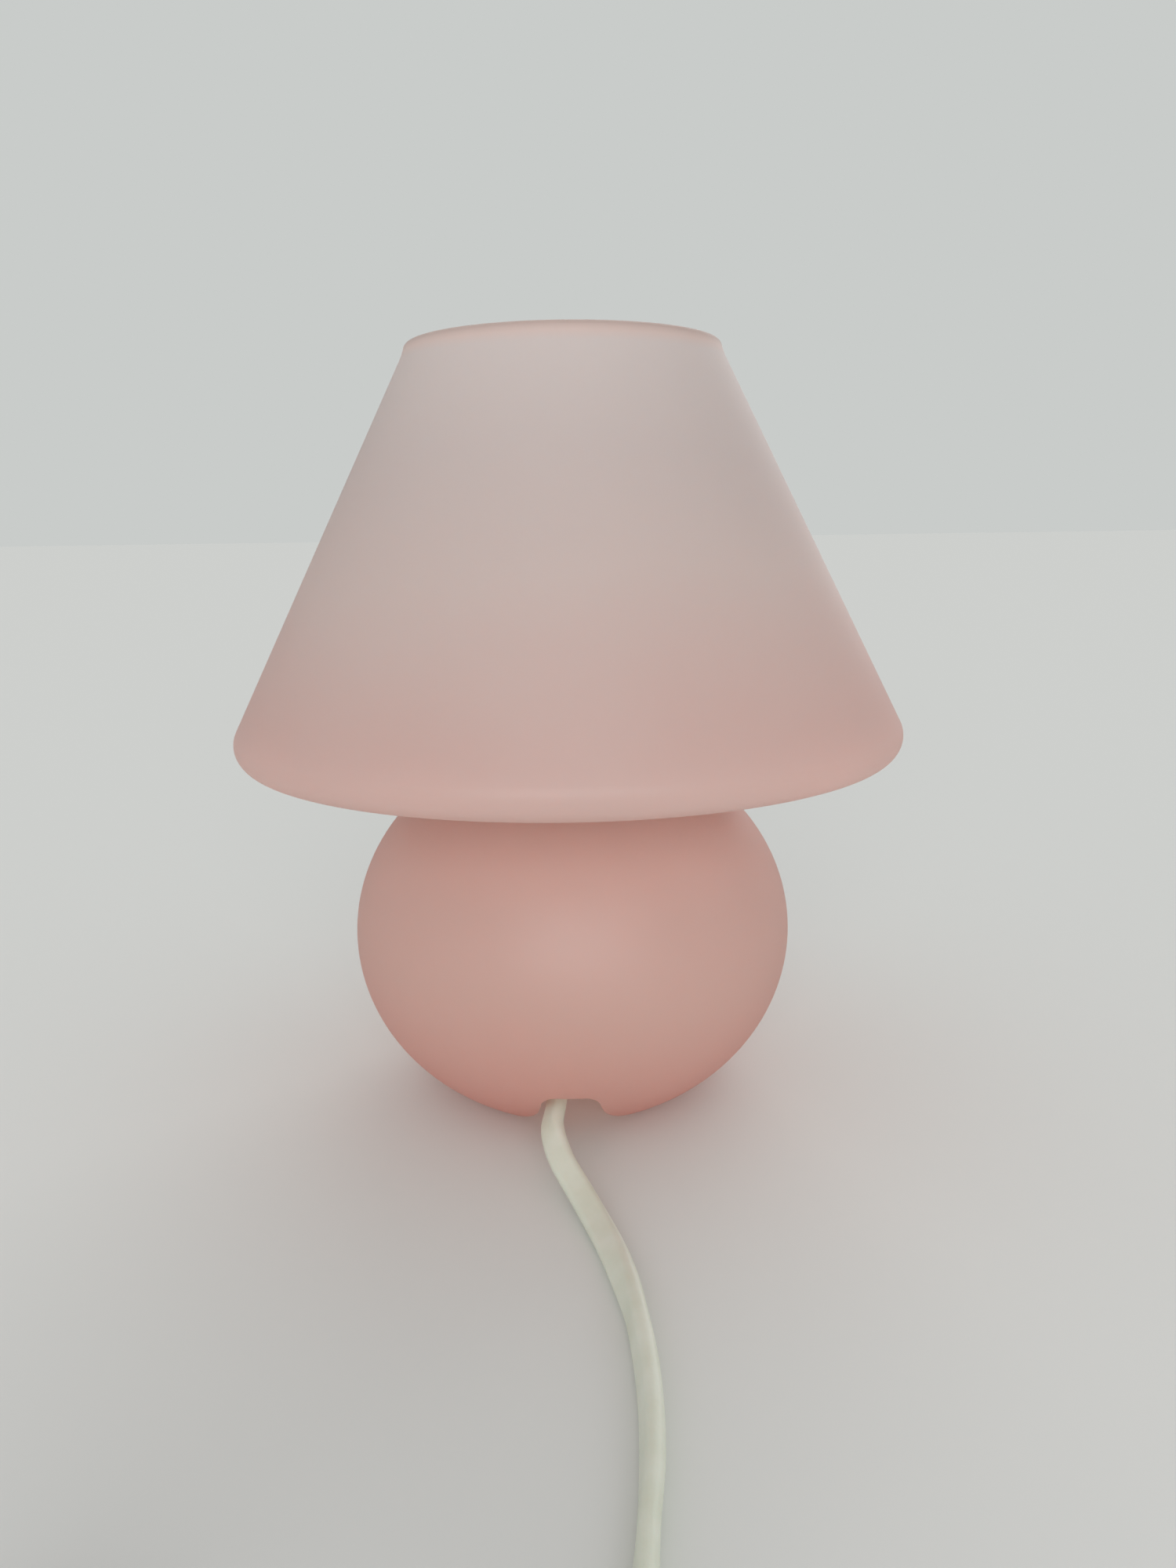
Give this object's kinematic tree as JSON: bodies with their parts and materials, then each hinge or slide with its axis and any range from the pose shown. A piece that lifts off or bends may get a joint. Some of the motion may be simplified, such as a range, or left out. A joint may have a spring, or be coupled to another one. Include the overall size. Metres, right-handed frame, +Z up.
{
  "type": "mushroom table lamp",
  "caption": "Small mushroom table lamp with a one-piece satin pink glass shell open at the top, a globe bulb in a clamped lampholder, and a flat flex with rocker switch and plug.",
  "frame": {"origin": "centre of the glass foot, on the table", "axes": "+Z up along the glass shell's axis, -Y towards the cord notch, +X to the right of it"},
  "size_m": [0.1776, 0.4372, 0.2],
  "materials": {
    "satin_glass": "satin etched, pale pink",
    "rubber": "matt moulded",
    "steel": "zinc plated",
    "white_plastic": "smooth moulded",
    "ceramic": "pressed ceramic",
    "brass": "plain stamped",
    "bulb_glass": "frosted",
    "black_insulation": "matt moulded",
    "flex": "soft ivory sheath",
    "plug_plastic": "smooth moulded"
  },
  "bodies": {
    "lamp": {"glass_shell": "satin_glass", "upper_gasket": "rubber", "throat_plate": "steel", "upper_ring_nut": "white_plastic", "lower_gasket": "rubber", "clamp_washer": "steel", "lower_ring_nut": "white_plastic", "holder_body": "white_plastic", "contact_carrier": "ceramic", "screw_shell": "brass", "centre_contact": "brass", "terminal_blocks": "brass", "terminal_screws": "steel", "holder_cap": "white_plastic", "grip_jaws": "white_plastic", "grip_screws": "steel", "holder_cores": "flex", "cord_lead": "flex", "cord_link": "flex", "cord_coil": "flex", "cord_tail": "flex", "cord_tie": "black_insulation", "switch_lower_case": "white_plastic", "switch_upper_case": "white_plastic", "switch_case_screws": "steel", "switch_pivot_terminal": "brass", "switch_fixed_terminal": "brass", "switch_terminal_screws": "steel", "switch_cores": "flex", "plug_body": "plug_plastic", "plug_sleeves": "black_insulation", "plug_pins": "steel"},
    "rocker": {"switch_rocker": "white_plastic", "switch_plunger": "brass", "switch_spring": "steel"},
    "blade": {"switch_blade": "brass"},
    "bulb": {"bulb_globe": "bulb_glass", "bulb_cap": "steel", "bulb_insulator": "black_insulation", "bulb_tip": "brass", "bulb_stem": "bulb_glass", "bulb_filament": "steel"}
  },
  "joints": [
    {"name": "rocker_tip", "type": "hinge", "parent": "lamp", "child": "rocker", "pos_m": [0.0125, -0.237, 0.0115], "axis": [1, 0, 0], "range_deg": [0, 14]},
    {"name": "blade_tip", "type": "hinge", "parent": "lamp", "child": "blade", "pos_m": [0.0125, -0.237, 0.0045], "axis": [1, 0, 0], "range_deg": [-7, 0]},
    {"name": "bulb_lift", "type": "slide", "parent": "lamp", "child": "bulb", "axis": [0, 0, 1], "range_m": [0, 0.12]}
  ],
  "couplings": [
    {"joint": "blade_tip", "follows": "rocker_tip", "ratio": -0.5}
  ]
}
